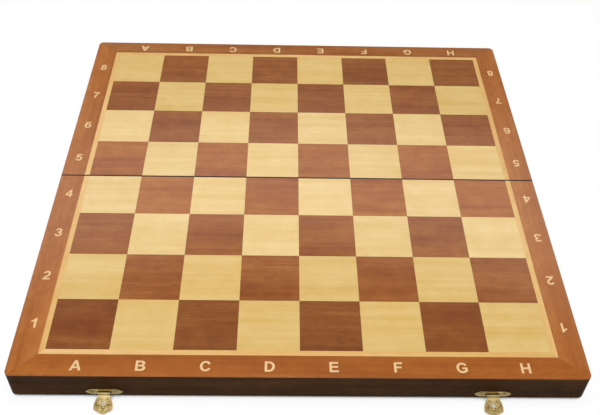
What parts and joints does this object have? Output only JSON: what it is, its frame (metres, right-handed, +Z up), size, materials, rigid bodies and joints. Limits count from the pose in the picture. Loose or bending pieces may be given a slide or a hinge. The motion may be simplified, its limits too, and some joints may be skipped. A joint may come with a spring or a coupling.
{
  "type": "folding chess box",
  "caption": "Shallow hinged wooden box that opens flat into a checkered board, with an inlaid border, butt hinges at the fold and brass swing clasps on the front.",
  "frame": {"origin": "middle of the fold, on the table plane under the hinge knuckles", "axes": "+X along the ranks from file A to file H, +Y from the near half with the clasps to the far half, +Z up out of the playing field"},
  "size_m": [0.49, 0.5067, 0.0308],
  "materials": {
    "dark_rail": "stained almost black brown, satin lacquer",
    "mahogany_border": "mahogany veneer, satin lacquer",
    "mahogany_square": "mahogany veneer, satin lacquer",
    "maple_square": "maple veneer, satin lacquer",
    "maple_string": "maple stringing, satin lacquer",
    "plywood": "plain plywood",
    "felt": "short green pile",
    "brass": "bright stamped brass"
  },
  "bodies": {
    "base": {"base_front_rail": "dark_rail", "base_left_rail": "dark_rail", "base_right_rail": "dark_rail", "base_hinge_rail": "dark_rail", "base_panel": "plywood", "base_lining": "felt", "base_dark_squares": "mahogany_square", "base_light_squares": "maple_square", "base_front_string": "maple_string", "base_left_string": "maple_string", "base_right_string": "maple_string", "base_front_border": "mahogany_border", "base_left_border": "mahogany_border", "base_right_border": "mahogany_border", "left_hinge_base_leaf": "brass", "right_hinge_base_leaf": "brass", "left_hinge_pin": "brass", "right_hinge_pin": "brass", "base_hinge_screws": "brass", "left_clasp_plate": "brass", "right_clasp_plate": "brass", "left_clasp_pin": "brass", "right_clasp_pin": "brass", "clasp_nails": "brass"},
    "lid": {"lid_back_rail": "dark_rail", "lid_left_rail": "dark_rail", "lid_right_rail": "dark_rail", "lid_hinge_rail": "dark_rail", "lid_panel": "plywood", "lid_lining": "felt", "lid_dark_squares": "mahogany_square", "lid_light_squares": "maple_square", "lid_back_string": "maple_string", "lid_left_string": "maple_string", "lid_right_string": "maple_string", "lid_back_border": "mahogany_border", "lid_left_border": "mahogany_border", "lid_right_border": "mahogany_border", "left_hinge_lid_leaf": "brass", "right_hinge_lid_leaf": "brass", "lid_hinge_screws": "brass", "left_catch_plate": "brass", "right_catch_plate": "brass", "left_catch_stud": "brass", "right_catch_stud": "brass", "catch_nails": "brass"},
    "left_hasp": {"left_tongue": "brass"},
    "right_hasp": {"right_tongue": "brass"}
  },
  "joints": [
    {"name": "fold", "type": "hinge", "parent": "base", "child": "lid", "pos_m": [0, 0, 0.0017], "axis": [-1, 0, 0], "range_deg": [0, 180]},
    {"name": "left_clasp", "type": "hinge", "parent": "base", "child": "left_hasp", "pos_m": [-0.165, -0.2446, 0.0071], "axis": [1, 0, 0], "range_deg": [-100, 67.2]},
    {"name": "right_clasp", "type": "hinge", "parent": "base", "child": "right_hasp", "pos_m": [0.165, -0.2446, 0.0071], "axis": [1, 0, 0], "range_deg": [-100, 67.2]}
  ]
}
